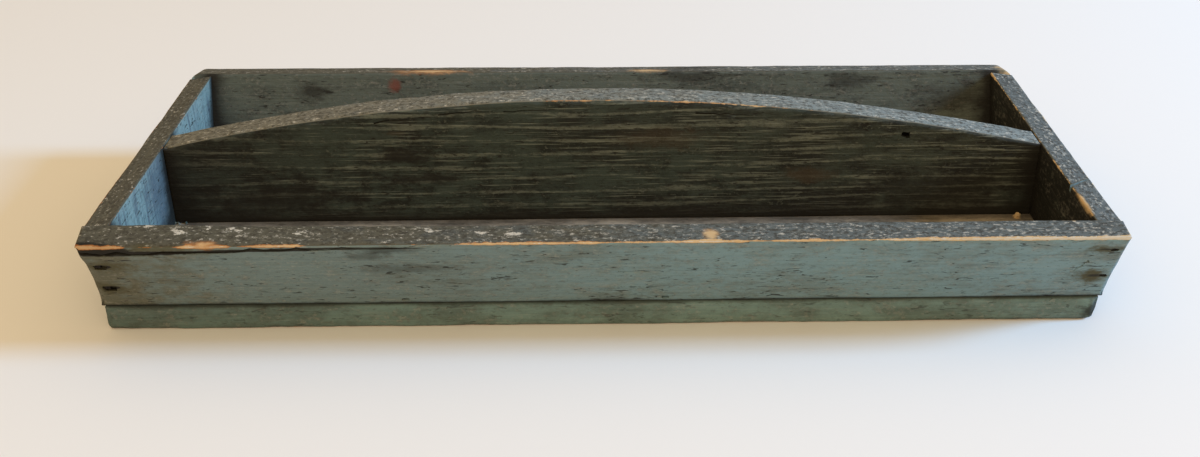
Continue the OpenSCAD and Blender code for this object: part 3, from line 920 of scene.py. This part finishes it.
class KNIFEBOX_OT_side_boards(bpy.types.Operator):
    """Builds the two leaning side boards"""
    bl_idname = "knife_box.side_boards"
    bl_label = "Side Boards"

    def execute(self, context):
        c = colours()
        # The front's paint grows duller and browner to the left, partly browner paint and partly painted
        # shade away from the window at the right, and its inner face is painted darker: painted shade
        # inside
        coats = [coat(c.paint_dull, 0.42, 0.60, 0.7, cloud=0.45, patch=0.55),
                 coat(c.paint_dull, -0.04, 0.16, 0.7, x=-1.0, patch=0.12, start=-0.02),
                 coat(c.paint_brown, 0.54, 0.68, 0.3, ring=0.4, cloud=0.6),
                 coat(c.paint_brown, 0.160, 0.225, 0.9, x=-1.0, patch=0.14, start=-0.07),
                 coat(c.inside_shade, 0.35, 0.65, inside=1.0, patch=0.4, start=-0.2)]
        coats += grain_coats(c) + rim_coats(c, c.rim_warm, c.rim_cool)
        # Stains round the nails, and dirt on the face
        coats += spots(
            (c.stain, 0.85, (-0.2185, -0.104, 0.0382), (0.012, 0.03, 0.004)),
            (c.stain, 0.8, (-0.2210, -0.098, 0.0243), (0.012, 0.03, 0.005)),
            (c.stain, 0.95, (0.2190, -0.104, 0.0432), (0.012, 0.03, 0.0028)),
            (c.stain, 0.98, (0.2175, -0.097, 0.0262), (0.012, 0.03, 0.0055)),
            (c.grime_and_shade, 0.8, (0.2200, -0.104, 0.0434), (0.005, 0.03, 0.0009)),
            (c.grime_and_shade, 0.8, (0.2195, -0.097, 0.0262), (0.006, 0.03, 0.0011)),
            (c.stain, 0.75, (-0.1960, -0.106, 0.0484), (0.036, 0.012, 0.0026)),
            (c.grime_and_shade, 0.55, (-0.0953, -0.105, 0.0470), (0.016, 0.03, 0.0025)),
            (c.grime_and_shade, 0.45, (-0.1030, -0.104, 0.0435), (0.014, 0.03, 0.0030)),
            (c.grime_and_shade, 0.38, (-0.0862, -0.102, 0.0354), (0.026, 0.03, 0.0040)))
        # The split and the dark wood above it, and the torn wood at the left nails
        coats += spots((c.grime_and_shade, 0.96, (-0.2230, -0.107, 0.0482), (0.021, 0.02, 0.0030)),
                       (c.grime_and_shade, 0.97, (-0.2150, -0.107, 0.0464), (0.034, 0.02, 0.0017)),
                       (c.grime_and_shade, 0.97, (-0.1830, -0.107, 0.0468), (0.030, 0.02, 0.0010)),
                       (c.grime_and_shade, 0.95, (-0.1500, -0.107, 0.0475), (0.030, 0.02, 0.0008)),
                       (c.grime_and_shade, 0.90, (-0.1130, -0.107, 0.0483), (0.034, 0.02, 0.0007)),
                       (c.grime_and_shade, 0.97, (-0.2195, -0.104, 0.0380), (0.0036, 0.02, 0.0012)),
                       (c.grime_and_shade, 0.97, (-0.2200, -0.098, 0.0245), (0.0042, 0.02, 0.0012)),
                       low=-1.05, high=-0.8, rough=0.8)
        coats += [coat(c.crust, -0.32, -0.12, 0.9, spot=((x, y, 0.0525), (reach, 0.005, 0.01)),
                       crust=2.2, grit=1.2, start=-1.75) for x, y, reach in WHITE_CLUMPS]
        coats += wear_coats(c, 0.66)
        coats += spots(("timber", 0.9, (-0.1740, -0.1052, 0.0505), (0.0085, 0.0028, 0.003)),
                       ("timber", 0.9, (0.0470, -0.1020, 0.0520), (0.0045, 0.0050, 0.004)))
        front = old_paint("worn_milk_paint_front", ("X", "Z", 3), c.paint, coats)
        side_board("front_side_board", -1, front, 11, front_bared, front_scars)
        coats = [coat(c.paint_dull, 0.42, 0.60, 0.8, cloud=0.55, patch=0.45),
                 coat(c.paint_brown, 0.52, 0.66, 0.4, ring=0.4, cloud=0.6),
                 # The inner face is painted darker: painted shade inside the box
                 coat(c.inside_shade, 0.35, 0.65, inside=1.0, patch=0.4, start=-0.2),
                 coat(c.divider_dark, 0.46, 0.64, 0.5, cloud=0.5, patch=0.5)]
        coats += grain_coats(c) + rim_coats(c, c.rim_warm, c.rim_cool)
        # The red drip, and dark smudges where hands reached in
        coats += spots(
            (c.red_stain, 0.8, (-0.1154, 0.0918, 0.0480), (0.004, 0.03, 0.005)),
            (c.grime_and_shade, 0.7, (-0.1600, 0.0898, 0.0450), (0.012, 0.03, 0.006)),
            (c.grime_and_shade, 0.6, (0.0500, 0.0918, 0.0510), (0.026, 0.03, 0.004)),
            (c.grime_and_shade, 0.6, (0.1390, 0.0918, 0.0477), (0.020, 0.03, 0.005)),
            (c.grime_and_shade, 0.6, (0.2010, 0.088, 0.0390), (0.030, 0.03, 0.010)))
        coats += wear_coats(c, 0.66)
        coats += spots(("timber", 0.9, (-0.0960, 0.0960, 0.0540), (0.026, 0.0050, 0.003)),
                       ("timber", 0.8, (0.0250, 0.0960, 0.0540), (0.014, 0.0040, 0.003)),
                       ("timber", 0.9, (0.2290, 0.0980, 0.0520), (0.0080, 0.012, 0.006)))
        back = old_paint("worn_milk_paint_back", ("X", "Z", 8), c.paint, coats)
        side_board("back_side_board", 1, back, 23, lambda world: np.full(len(world), BACK_BARED))
        return {"FINISHED"}


class KNIFEBOX_OT_end_boards(bpy.types.Operator):
    """Builds the two end boards that stand between the sides"""
    bl_idname = "knife_box.end_boards"
    bl_label = "End Boards"

    def execute(self, context):
        c = colours()
        s, w = sizes(), wear()
        arris = s.rim_height - s.end_fall
        # Inside, the left end is brushed blue paint with a slate patch beside the divider, which is painted
        # shade, and the right end is painted nearly black: painted shade, as it faces away from the window
        shade_by_divider = ((-0.2172, -0.018, 0.036), (0.02, 0.030, 0.032))
        slate = [coat(c.inside_blue, 0.35, 0.65, inside=1.0, patch=0.4, start=-0.2),
                 coat(c.inside_slate, 0.46, 0.62, 0.75, inside=3.0, start=-3.0, brush=0.7, cloud=0.3),
                 coat(c.brush_pale, 0.54, 0.72, 0.5, inside=3.0, start=-2.4, brush=-0.6, cloud=0.5, z=2.0),
                 coat(c.inside_slate, -1.2, -0.2, 0.9, spot=shade_by_divider, patch=0.8, brush=0.8, start=-0.8)]
        right_inside_shade = [coat(c.divider_dark, 0.35, 0.65, inside=1.0, patch=0.4, start=-0.2),
                  coat(c.divider_paint, 0.50, 0.7, 0.6, inside=3.0, start=-3.0, patch=0.4, cloud=0.6)]
        right_bare = spots(("timber", 0.85, (0.2180, -0.0740, 0.0515), (0.0018, 0.0150, 0.003)))
        ends = (("left_end_board", -1, 31, slate), ("right_end_board", 1, 47, right_inside_shade))
        for node, sign, seed, inner in ends:

            def place(share):
                u, v, t = share.T
                z = JOINT_Z + v * ((s.rim_height - JOINT_Z) * (1 - t) + (arris - JOINT_Z) * t)
                x = end_inner(z) + (end_outer(z) - end_inner(z)) * t
                y = (2 * u - 1) * side_inner(z) * (-1 if sign > 0 else 1)
                return np.stack([sign * x, y, z], axis=1)

            size = np.array([2 * side_inner(s.face_height), s.rim_height - JOINT_Z, s.end_thickness])
            radii = {(V1, W1): w.end_rim_outer, (V1, W0): w.rim_inner, (V0, W1): FOOT_RADIUS}
            exposure = {(V1, W1): 0.74, (V1, W0): 0.70 if sign > 0 else 0.62}
            piece = make_board(node + ".planed", size, place, radii, exposure, seed, rim_face=V1,
                               inner_faces=(W0,))
            bm = bmesh.new()
            rng = random.Random(seed)
            nail_hole_cutters(bm, node, rng)
            if sign > 0:
                split = [(0.2170, -0.0560, 0.0518), (0.2300, -0.0460, 0.0508)]
                crack(bm, split, (0, 0, 1), 0.0012, 0.003, rng)
            cut(piece, bm)
            coats = [coat(c.paint_dull, 0.40, 0.60, 0.8, cloud=0.55, patch=0.45),
                     coat(c.paint_brown, 0.52, 0.66, 0.5, ring=0.4, cloud=0.6)]
            coats += inner + grain_coats(c) + rim_coats(c, c.rim_warm, c.rim_cool) + wear_coats(c, 0.66)
            if sign > 0:
                coats += right_bare
            name = "worn_milk_paint_" + node.split("_")[0]
            material = old_paint(name, ("Y", "Z", seed), c.paint, coats)
            finish_board(piece, node, material)
        return {"FINISHED"}


# How far the arch's arrises are rubbed bare, along X
ARCH_BARED = ((-0.06, -0.03, 0.0, 0.01, 0.03, 0.09, 0.11),
              (0.78, 0.98, 1.02, 0.88, 1.02, 1.02, 0.80))

# Where paint is broken away under the arch: from and to along X, and how far under its top
BROKEN_PAINT = ((-0.112, -0.085, 0.0060), (-0.080, -0.053, 0.0046), (-0.048, -0.022, 0.0054),
                (0.046, 0.074, 0.0060))


class KNIFEBOX_OT_divider(bpy.types.Operator):
    """Builds the arched divider that is also the handle"""
    bl_idname = "knife_box.divider"
    bl_label = "Divider"

    def execute(self, context):
        c = colours()
        s, w = sizes(), wear()
        half = s.divider_thickness / 2
        face = s.divider_shift - half
        ends = s.rim_height - s.arch_drop

        def place(share):
            u, v, t = share.T
            reach = end_inner(JOINT_Z) + (end_inner(ends) - end_inner(JOINT_Z)) * v
            x = (2 * u - 1) * reach
            z = JOINT_Z + v * (arch_z(x) - JOINT_Z)
            return np.stack([x, s.divider_shift + half * (1 - 2 * t), z], axis=1)

        size = np.array([2 * end_inner(JOINT_Z), ends + s.arch_rise * 0.6 - JOINT_Z, s.divider_thickness])
        arch_end = 0.0008
        radii = {(V1, W1): w.arch, (V1, W0): w.arch, (U0, V1): arch_end, (U1, V1): arch_end}
        exposure = {(V1, W1): 0.72, (V1, W0): 0.70}
        piece = make_board("divider.planed", size, place, radii, exposure, 59, rim_face=V1,
                           inner_faces=(W0, W1, U0, U1),
                           bared=lambda world: np.interp(world[:, 0], *ARCH_BARED))
        bm = bmesh.new()
        rng = random.Random(59)
        # The small ragged hole near its right end
        hole = ragged_outline(0.0021, 0.0018, 9, 0.22, rng)
        hole_at = Matrix.Translation((0.1502, face - 0.003, 0.0574))
        prism(bm, hole, 0.0095, hole_at @ aim((0, 1, 0), (1, 0, 0)))
        for start, end, drop in BROKEN_PAINT:
            path = [(x, face, float(arch_z(x)) - drop + rng.uniform(-0.0004, 0.0004))
                    for x in np.linspace(start, end, 5)]
            crack(bm, path, (0, -1, 0), 0.0011, 0.0010, rng, 0.0042)
        cut(piece, bm)
        coats = [coat(c.knot, -0.30, 0.10, 0.30, x=1.0, cloud=1.0, start=-0.7),
                 coat(c.divider_dark, 0.40, 0.60, 0.75, cloud=0.6, patch=0.4),
                 # Darker towards the foot: painted shade low in the box
                 coat(c.divider_dark, 0.44, 0.62, 0.60, cloud=0.3, patch=0.7, z=-2.0, start=0.06),
                 coat(c.divider_pale, 0.84, 1.02, 0.40, line=0.5, crust=0.4, cloud=0.5),
                 coat(c.divider_pale, 0.54, 0.66, 0.50, fibre=0.8, cloud=0.2),
                 coat(c.divider_pale, 0.56, 0.66, 0.30, grit=0.7, patch=0.3),
                 coat(c.grime_and_shade, 0.54, 0.66, 0.75, fibre=-0.6, grit=0.4, start=0.6),
                 coat(c.grime_and_shade, 0.10, 0.24, 0.55, x=-1.0, patch=0.2, start=-0.08),
                 coat(c.grime_and_shade, 0.60, 0.66, 0.8, tick=0.8, cloud=0.2)]
        # Dark smudges and brown knots on the front face, and painted shade in its lower corners
        coats += spots(
            (c.grime_and_shade, 0.9, (-0.0980, face, 0.0475), (0.018, 0.02, 0.006)),
            (c.grime_and_shade, 0.75, (-0.0880, face, 0.0355), (0.026, 0.02, 0.004)),
            (c.knot, 0.75, (0.1040, face, 0.0352), (0.016, 0.02, 0.005)),
            (c.knot, 0.5, (-0.1020, face, 0.0600), (0.006, 0.02, 0.0018)),
            (c.knot, 0.5, (0.0300, face, 0.0560), (0.030, 0.02, 0.007)),
            (c.grime_and_shade, 0.6, (-0.1700, face, 0.0240), (0.060, 0.02, 0.012)),
            (c.grime_and_shade, 0.6, (0.1700, face, 0.0260), (0.050, 0.02, 0.014)))
        coats += rim_coats(c, c.arch_warm, c.arch_cool)
        coats += wear_coats(c, 0.68)
        material = old_paint("smoked_dark_paint", ("X", "Z", 59), c.divider_paint, coats, 1.4)
        finish_board(piece, "divider", material)
        return {"FINISHED"}


# Crumbs on the floor: the middle of a little heap, how far it spreads, their size and number
CRUMBS = ((-0.2138, -0.0105, 0.0035, 0.0007, 14), (0.2095, -0.0103, 0.0003, 0.0017, 1),
          (-0.2090, 0.0170, 0.0045, 0.0011, 9))


def crumbs(piece, rng):
    """Lays a few crumbs and flakes of paint on the floor inside."""
    bm = bmesh.new()
    bm.from_mesh(piece.data)
    for x, y, reach, size, count in CRUMBS:
        for _ in range(count):
            centre = Vector((x + rng.uniform(-reach, reach), y + rng.uniform(-reach, reach),
                             JOINT_Z + size * 0.4))
            shape = Matrix.Diagonal([size * rng.uniform(0.7, 1.3) for _ in range(3)] + [1])
            made = bmesh.ops.create_icosphere(bm, subdivisions=2, radius=1.0,
                                              matrix=Matrix.Translation(centre) @ shape)["verts"]
            for vert in made:
                vert.co += Vector([rng.uniform(-0.18, 0.18) * size for _ in range(3)])
    bm.to_mesh(piece.data)
    bm.free()


class KNIFEBOX_OT_bottom_board(bpy.types.Operator):
    """Builds the bottom board that is nailed on from below"""
    bl_idname = "knife_box.bottom_board"
    bl_label = "Bottom Board"

    def execute(self, context):
        c = colours()
        s, w = sizes(), wear()
        lo = np.array((-s.bottom_left, -s.bottom_half_width, 0))
        hi = np.array((s.bottom_right, s.bottom_half_width, JOINT_Z))

        def place(share):
            return lo + (hi - lo) * share

        def corners(local):
            front = np.exp(-(local[:, 1] / 0.03) ** 2)
            knocked = w.end_corner + (w.knocked_corner - w.end_corner) * front
            return {(U1, W0): knocked, (U0, W0): w.end_corner}

        rounds = {(a, b): w.bottom for a in (V0, V1) for b in (W0, W1)}
        rounds.update({(a, b): w.bottom for a in (U0, U1) for b in (W0, W1)})
        rounds.update({(a, b): w.bottom_corner for a in (U0, U1) for b in (V0, V1)})
        rubs = {(a, W0): 0.62 for a in (U0, U1, V0, V1)}
        piece = make_board("bottom_board.planed", hi - lo, place, rounds, rubs, 71, cells=1.35, rim_face=W0,
                           inner_faces=(W1,), corners=corners)
        rng = random.Random(71)
        bm = bmesh.new()
        nail_hole_cutters(bm, "bottom_board", rng)
        cut(piece, bm)
        crumbs(piece, rng)
        coats = [coat(c.edge_dull, 0.40, 0.60, 0.8, cloud=0.6, patch=0.4),
                 coat(c.grime_and_shade, 0.0, 0.26, 0.42, x=-1.0, patch=0.12, start=-0.05),
                 coat(c.floor_dust, 0.35, 0.65, inside=1.0, patch=0.4, start=-0.2),
                 coat(c.floor_dark, 0.42, 0.60, 0.8, inside=3.0, start=-3.0, cloud=0.6, patch=0.4),
                 coat(c.underside, 0.35, 0.65, rim=1.0, patch=0.4, start=-0.2),
                 coat(c.underside_dark, 0.42, 0.60, 0.8, rim=3.0, start=-3.0, cloud=0.6, patch=0.4)]
        coats += grain_coats(c, 0.45) + wear_coats(c, 0.70, 0.62)
        # Dirt at the knocked corner, and the crumbs on the floor
        coats += spots((c.grime_and_shade, 0.8, (0.2230, -0.0900, 0.0050), (0.008, 0.01, 0.006)),
                       (c.crust, 0.9, (-0.2140, -0.0110, 0.0125), (0.004, 0.005, 0.003)),
                       (c.wood, 1.0, (0.2095, -0.0103, 0.0135), (0.0024, 0.003, 0.004)),
                       (c.crust, 0.9, (-0.2090, 0.0170, 0.0125), (0.006, 0.006, 0.004)))
        material = old_paint("scuffed_bottom_paint", ("X", "Y", 71), c.edge_paint, coats)
        finish_board(piece, "bottom_board", material)
        return {"FINISHED"}


def nail_tree(material):
    """Geometry nodes that put a cut nail on each point of a mesh: T head and tapering shank."""
    n = bpy.context.scene.knife_box_nails
    tree = bpy.data.node_groups.new("Cut Nails", "GeometryNodeTree")
    tree.interface.new_socket("Geometry", in_out="INPUT", socket_type="NodeSocketGeometry")
    for key, value in (("Length", 0.034), ("Head Width", n.head_width), ("Head Depth", n.head_depth),
                       ("Plate", n.plate), ("Shank Width", n.shank_width), ("Point Width", n.point_width)):
        socket = tree.interface.new_socket(key, in_out="INPUT", socket_type="NodeSocketFloat")
        socket.default_value = value
    turn = tree.interface.new_socket("Rotation", in_out="INPUT", socket_type="NodeSocketVector")
    turn.subtype = "EULER"
    seed = tree.interface.new_socket("Seed", in_out="INPUT", socket_type="NodeSocketInt")
    seed.default_value = n.seed
    tree.interface.new_socket("Geometry", in_out="OUTPUT", socket_type="NodeSocketGeometry")
    points = add(tree, "NodeGroupInput")
    given = points.node.outputs

    # Head: a small block, sunk from the point that it stands on
    head_size = add(tree, "ShaderNodeCombineXYZ", {0: given["Head Width"], 1: given["Plate"],
                                                   2: given["Head Depth"]})
    head = add(tree, "GeometryNodeMeshCube", {"Size": head_size, "Vertices X": 9, "Vertices Y": 5,
                                              "Vertices Z": 4}, out="Mesh")
    head_half = add(tree, "ShaderNodeMath", {0: given["Head Depth"], 1: 0.5}, operation="MULTIPLY")
    head_up = add(tree, "ShaderNodeCombineXYZ", {2: head_half})
    head_at = add(tree, "GeometryNodeTransform", {"Geometry": head, "Translation": head_up})

    # Shank: a unit bar whose width narrows from head to point
    bar = add(tree, "GeometryNodeMeshCube", {"Size": (1, 1, 1), "Vertices X": 3, "Vertices Y": 2,
                                             "Vertices Z": 12}, out="Mesh")
    spot = add(tree, "ShaderNodeSeparateXYZ", {0: add(tree, "GeometryNodeInputPosition")}).node.outputs
    along = add(tree, "ShaderNodeMapRange", {VALUE: spot["Z"], FROM_MIN: -0.5, FROM_MAX: 0.5,
                                             TO_MIN: given["Head Depth"], TO_MAX: given["Length"]})
    width = add(tree, "ShaderNodeMapRange", {VALUE: spot["Z"], FROM_MIN: -0.5, FROM_MAX: 0.5,
                                             TO_MIN: given["Shank Width"], TO_MAX: given["Point Width"]})
    across = add(tree, "ShaderNodeMath", {0: spot["X"], 1: width}, operation="MULTIPLY")
    through = add(tree, "ShaderNodeMath", {0: spot["Y"], 1: given["Plate"]}, operation="MULTIPLY")
    shaped = add(tree, "ShaderNodeCombineXYZ", {0: across, 1: through, 2: along})
    shank = add(tree, "GeometryNodeSetPosition", {"Geometry": bar, "Position": shaped})

    nail = add(tree, "GeometryNodeJoinGeometry", {"Geometry": head_at})
    tree.links.new(shank, nail.node.inputs[0])
    # Each is driven a little askew, by up to this many radians about each axis
    askew = (0.02, 0.02, 0.03)
    twist = add(tree, "FunctionNodeRandomValue", {"Min": [-a for a in askew], "Max": askew,
                                                  "Seed": given["Seed"]},
                out="Value", data_type="FLOAT_VECTOR")
    lean = add(tree, "ShaderNodeVectorMath", {0: given["Rotation"], 1: twist}, operation="ADD")
    placed = add(tree, "GeometryNodeInstanceOnPoints", {"Points": points, "Instance": nail,
                                                        "Rotation": lean})
    real = add(tree, "GeometryNodeRealizeInstances", {"Geometry": placed})
    # Hammered and rusted skin
    noise = add(tree, "ShaderNodeTexNoise", {"Scale": 700.0, "Detail": 2.0}, out="Color")
    offset = add(tree, "ShaderNodeVectorMath", {0: noise, 1: (0.5, 0.5, 0.5)}, operation="SUBTRACT")
    small = add(tree, "ShaderNodeVectorMath", {0: offset, 3: 0.0004}, operation="SCALE")
    rusted = add(tree, "GeometryNodeSetPosition", {"Geometry": real, "Offset": small})
    painted = add(tree, "GeometryNodeSetMaterial", {"Geometry": rusted, "Material": material})
    add(tree, "NodeGroupOutput", {0: painted})
    return tree


class KNIFEBOX_OT_nails(bpy.types.Operator):
    """Drives the cut nails at the places that the construction gives them"""
    bl_idname = "knife_box.nails"
    bl_label = "Nails"

    def execute(self, context):
        n = context.scene.knife_box_nails
        tree = nail_tree(rusted_iron("rusted_cut_iron"))
        keys = {item.name: item.identifier for item in tree.interface.items_tree if item.in_out == "INPUT"}
        quarter = math.pi / 2
        short = 0.0006
        for count, (node, axis, sign, *_) in enumerate(NAIL_GROUPS):
            heads = nail_heads(node, axis, sign)
            mesh = bpy.data.meshes.new(node + ".rusted")
            mesh.from_pydata([tuple(head) for head, _ in heads], [], [])
            piece = linked(node + ".rusted", mesh)
            change = piece.modifiers.new("nails", "NODES")
            change.node_group = tree
            # The tree's nails point up. Those through the end boards are turned so that their
            # wide side lies level too.
            turn = (-sign * quarter, 0, 0) if axis == 1 else (0, 0, 0)
            if axis == 0:
                level = Matrix.Rotation(quarter, 3, "Z")
                turn = tuple((Matrix.Rotation(sign * quarter, 3, "Y") @ level).to_euler())
            change[keys["Rotation"]] = turn
            change[keys["Length"]] = heads[0][1] - short
            change[keys["Seed"]] = n.seed + count
            piece.data = applied(piece)
            bpy.data.meshes.remove(mesh)
            lo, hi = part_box(node)
            co = np.array([v.co for v in piece.data.vertices])
            co = tapered(np.clip(co, np.array(lo), np.array(hi)))
            piece.data.vertices.foreach_set("co", co.ravel())
            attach(piece, "root")
            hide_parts(node)
        return {"FINISHED"}


def studio_floor():
    """A pale matt table top."""
    material = bpy.data.materials.new("pale_matt_floor")
    material.use_nodes = True
    shader = material.node_tree.nodes["Principled BSDF"]
    shader.inputs["Base Color"].default_value = linear("#eceae6")
    shader.inputs["Roughness"].default_value = 0.9
    shader.inputs["Specular IOR Level"].default_value = 0.1
    return material


def soft_lamp(name, place, wide, high, watts, code):
    """A large plain lamp that is aimed at the box."""
    lamp = bpy.data.lights.new(name, "AREA")
    lamp.shape = "RECTANGLE"
    lamp.size = wide
    lamp.size_y = high
    lamp.energy = watts
    lamp.color = linear(code)[:3]
    aimed = (-place).to_track_quat("-Z", "Y").to_matrix().to_4x4()
    linked(name, lamp).matrix_world = Matrix.Translation(place) @ aimed


class KNIFEBOX_OT_stage(bpy.types.Operator):
    """Sets up the floor, the lights and the camera"""
    bl_idname = "knife_box.stage"
    bl_label = "Stage"

    def execute(self, context):
        scene = bpy.context.scene
        half = 6.0
        mesh = bpy.data.meshes.new("floor")
        mesh.from_pydata([(-half, -half, 0), (half, -half, 0), (half, half, 0), (-half, half, 0)], [],
                         [(0, 1, 2, 3)])
        mesh.materials.append(studio_floor())
        linked("floor", mesh)

        # A cool window to the right, 25 degrees up, and a wide, weak fill from the viewer's side
        far, up = 2.8, math.radians(25)
        window = Vector((far * math.cos(up), 0, far * math.sin(up)))
        soft_lamp("window_light", window, 0.5, 0.8, 105.0, "#8ec7ff")
        soft_lamp("room_fill", Vector((0, -2.3, 1.6)), 3.0, 1.4, 25.0, "#ffe8c8")

        # A warm room all round
        world = bpy.data.worlds.new("soft_room")
        world.use_nodes = True
        world.node_tree.nodes["Background"].inputs["Color"].default_value = linear("#ffe3b7")
        world.node_tree.nodes["Background"].inputs["Strength"].default_value = 0.715
        scene.world = world

        v = scene.knife_box_camera
        forward = Vector((math.sin(v.yaw) * math.cos(v.pitch), math.cos(v.yaw) * math.cos(v.pitch),
                          -math.sin(v.pitch)))
        right = Vector((math.cos(v.yaw), -math.sin(v.yaw), 0))
        up = right.cross(forward)
        turned = math.cos(v.roll) * right + math.sin(v.roll) * up
        upright = -math.sin(v.roll) * right + math.cos(v.roll) * up
        place = Vector((v.aim_x, 0, v.aim_z)) - forward * v.distance
        lens = bpy.data.cameras.new("photo_view")
        lens.sensor_width = 36.0
        lens.lens = v.focal
        lens.clip_start = 0.01
        axes = Matrix((turned, upright, -forward)).transposed().to_4x4()
        camera = linked("photo_view", lens)
        camera.matrix_world = Matrix.Translation(place) @ axes
        scene.camera = camera
        scene.view_settings.view_transform = "Standard"
        return {"FINISHED"}


class KNIFEBOX_PT_panel(bpy.types.Panel):
    """Lists the steps in the order in which they are run"""
    bl_label = "Knife Box"
    bl_space_type = "VIEW_3D"
    bl_region_type = "UI"
    bl_category = "Knife Box"

    def draw(self, context):
        for operator in STEPS:
            self.layout.operator(operator.bl_idname)
        for group in GROUPS:
            settings = getattr(context.scene, group)
            box = self.layout.box()
            for key in settings.__annotations__:
                box.prop(settings, key)


GROUPS = {"knife_box_sizes": KnifeBoxSizes, "knife_box_wear": KnifeBoxWear,
          "knife_box_colours": KnifeBoxColours, "knife_box_nails": KnifeBoxNails,
          "knife_box_camera": KnifeBoxCamera}
STEPS = (KNIFEBOX_OT_stage, KNIFEBOX_OT_bottom_board, KNIFEBOX_OT_side_boards, KNIFEBOX_OT_end_boards,
         KNIFEBOX_OT_divider, KNIFEBOX_OT_nails)


def register():
    for cls in (*GROUPS.values(), *STEPS, KNIFEBOX_PT_panel):
        bpy.utils.register_class(cls)
    for key, cls in GROUPS.items():
        setattr(bpy.types.Scene, key, PointerProperty(type=cls))


def unregister():
    for key in GROUPS:
        delattr(bpy.types.Scene, key)
    for cls in reversed((*GROUPS.values(), *STEPS, KNIFEBOX_PT_panel)):
        bpy.utils.unregister_class(cls)


def main():
    """Builds the whole box, one step after another."""
    register()
    for step in STEPS:
        family, action = step.bl_idname.split(".")
        getattr(getattr(bpy.ops, family), action)()


if __name__ == "__main__":
    main()
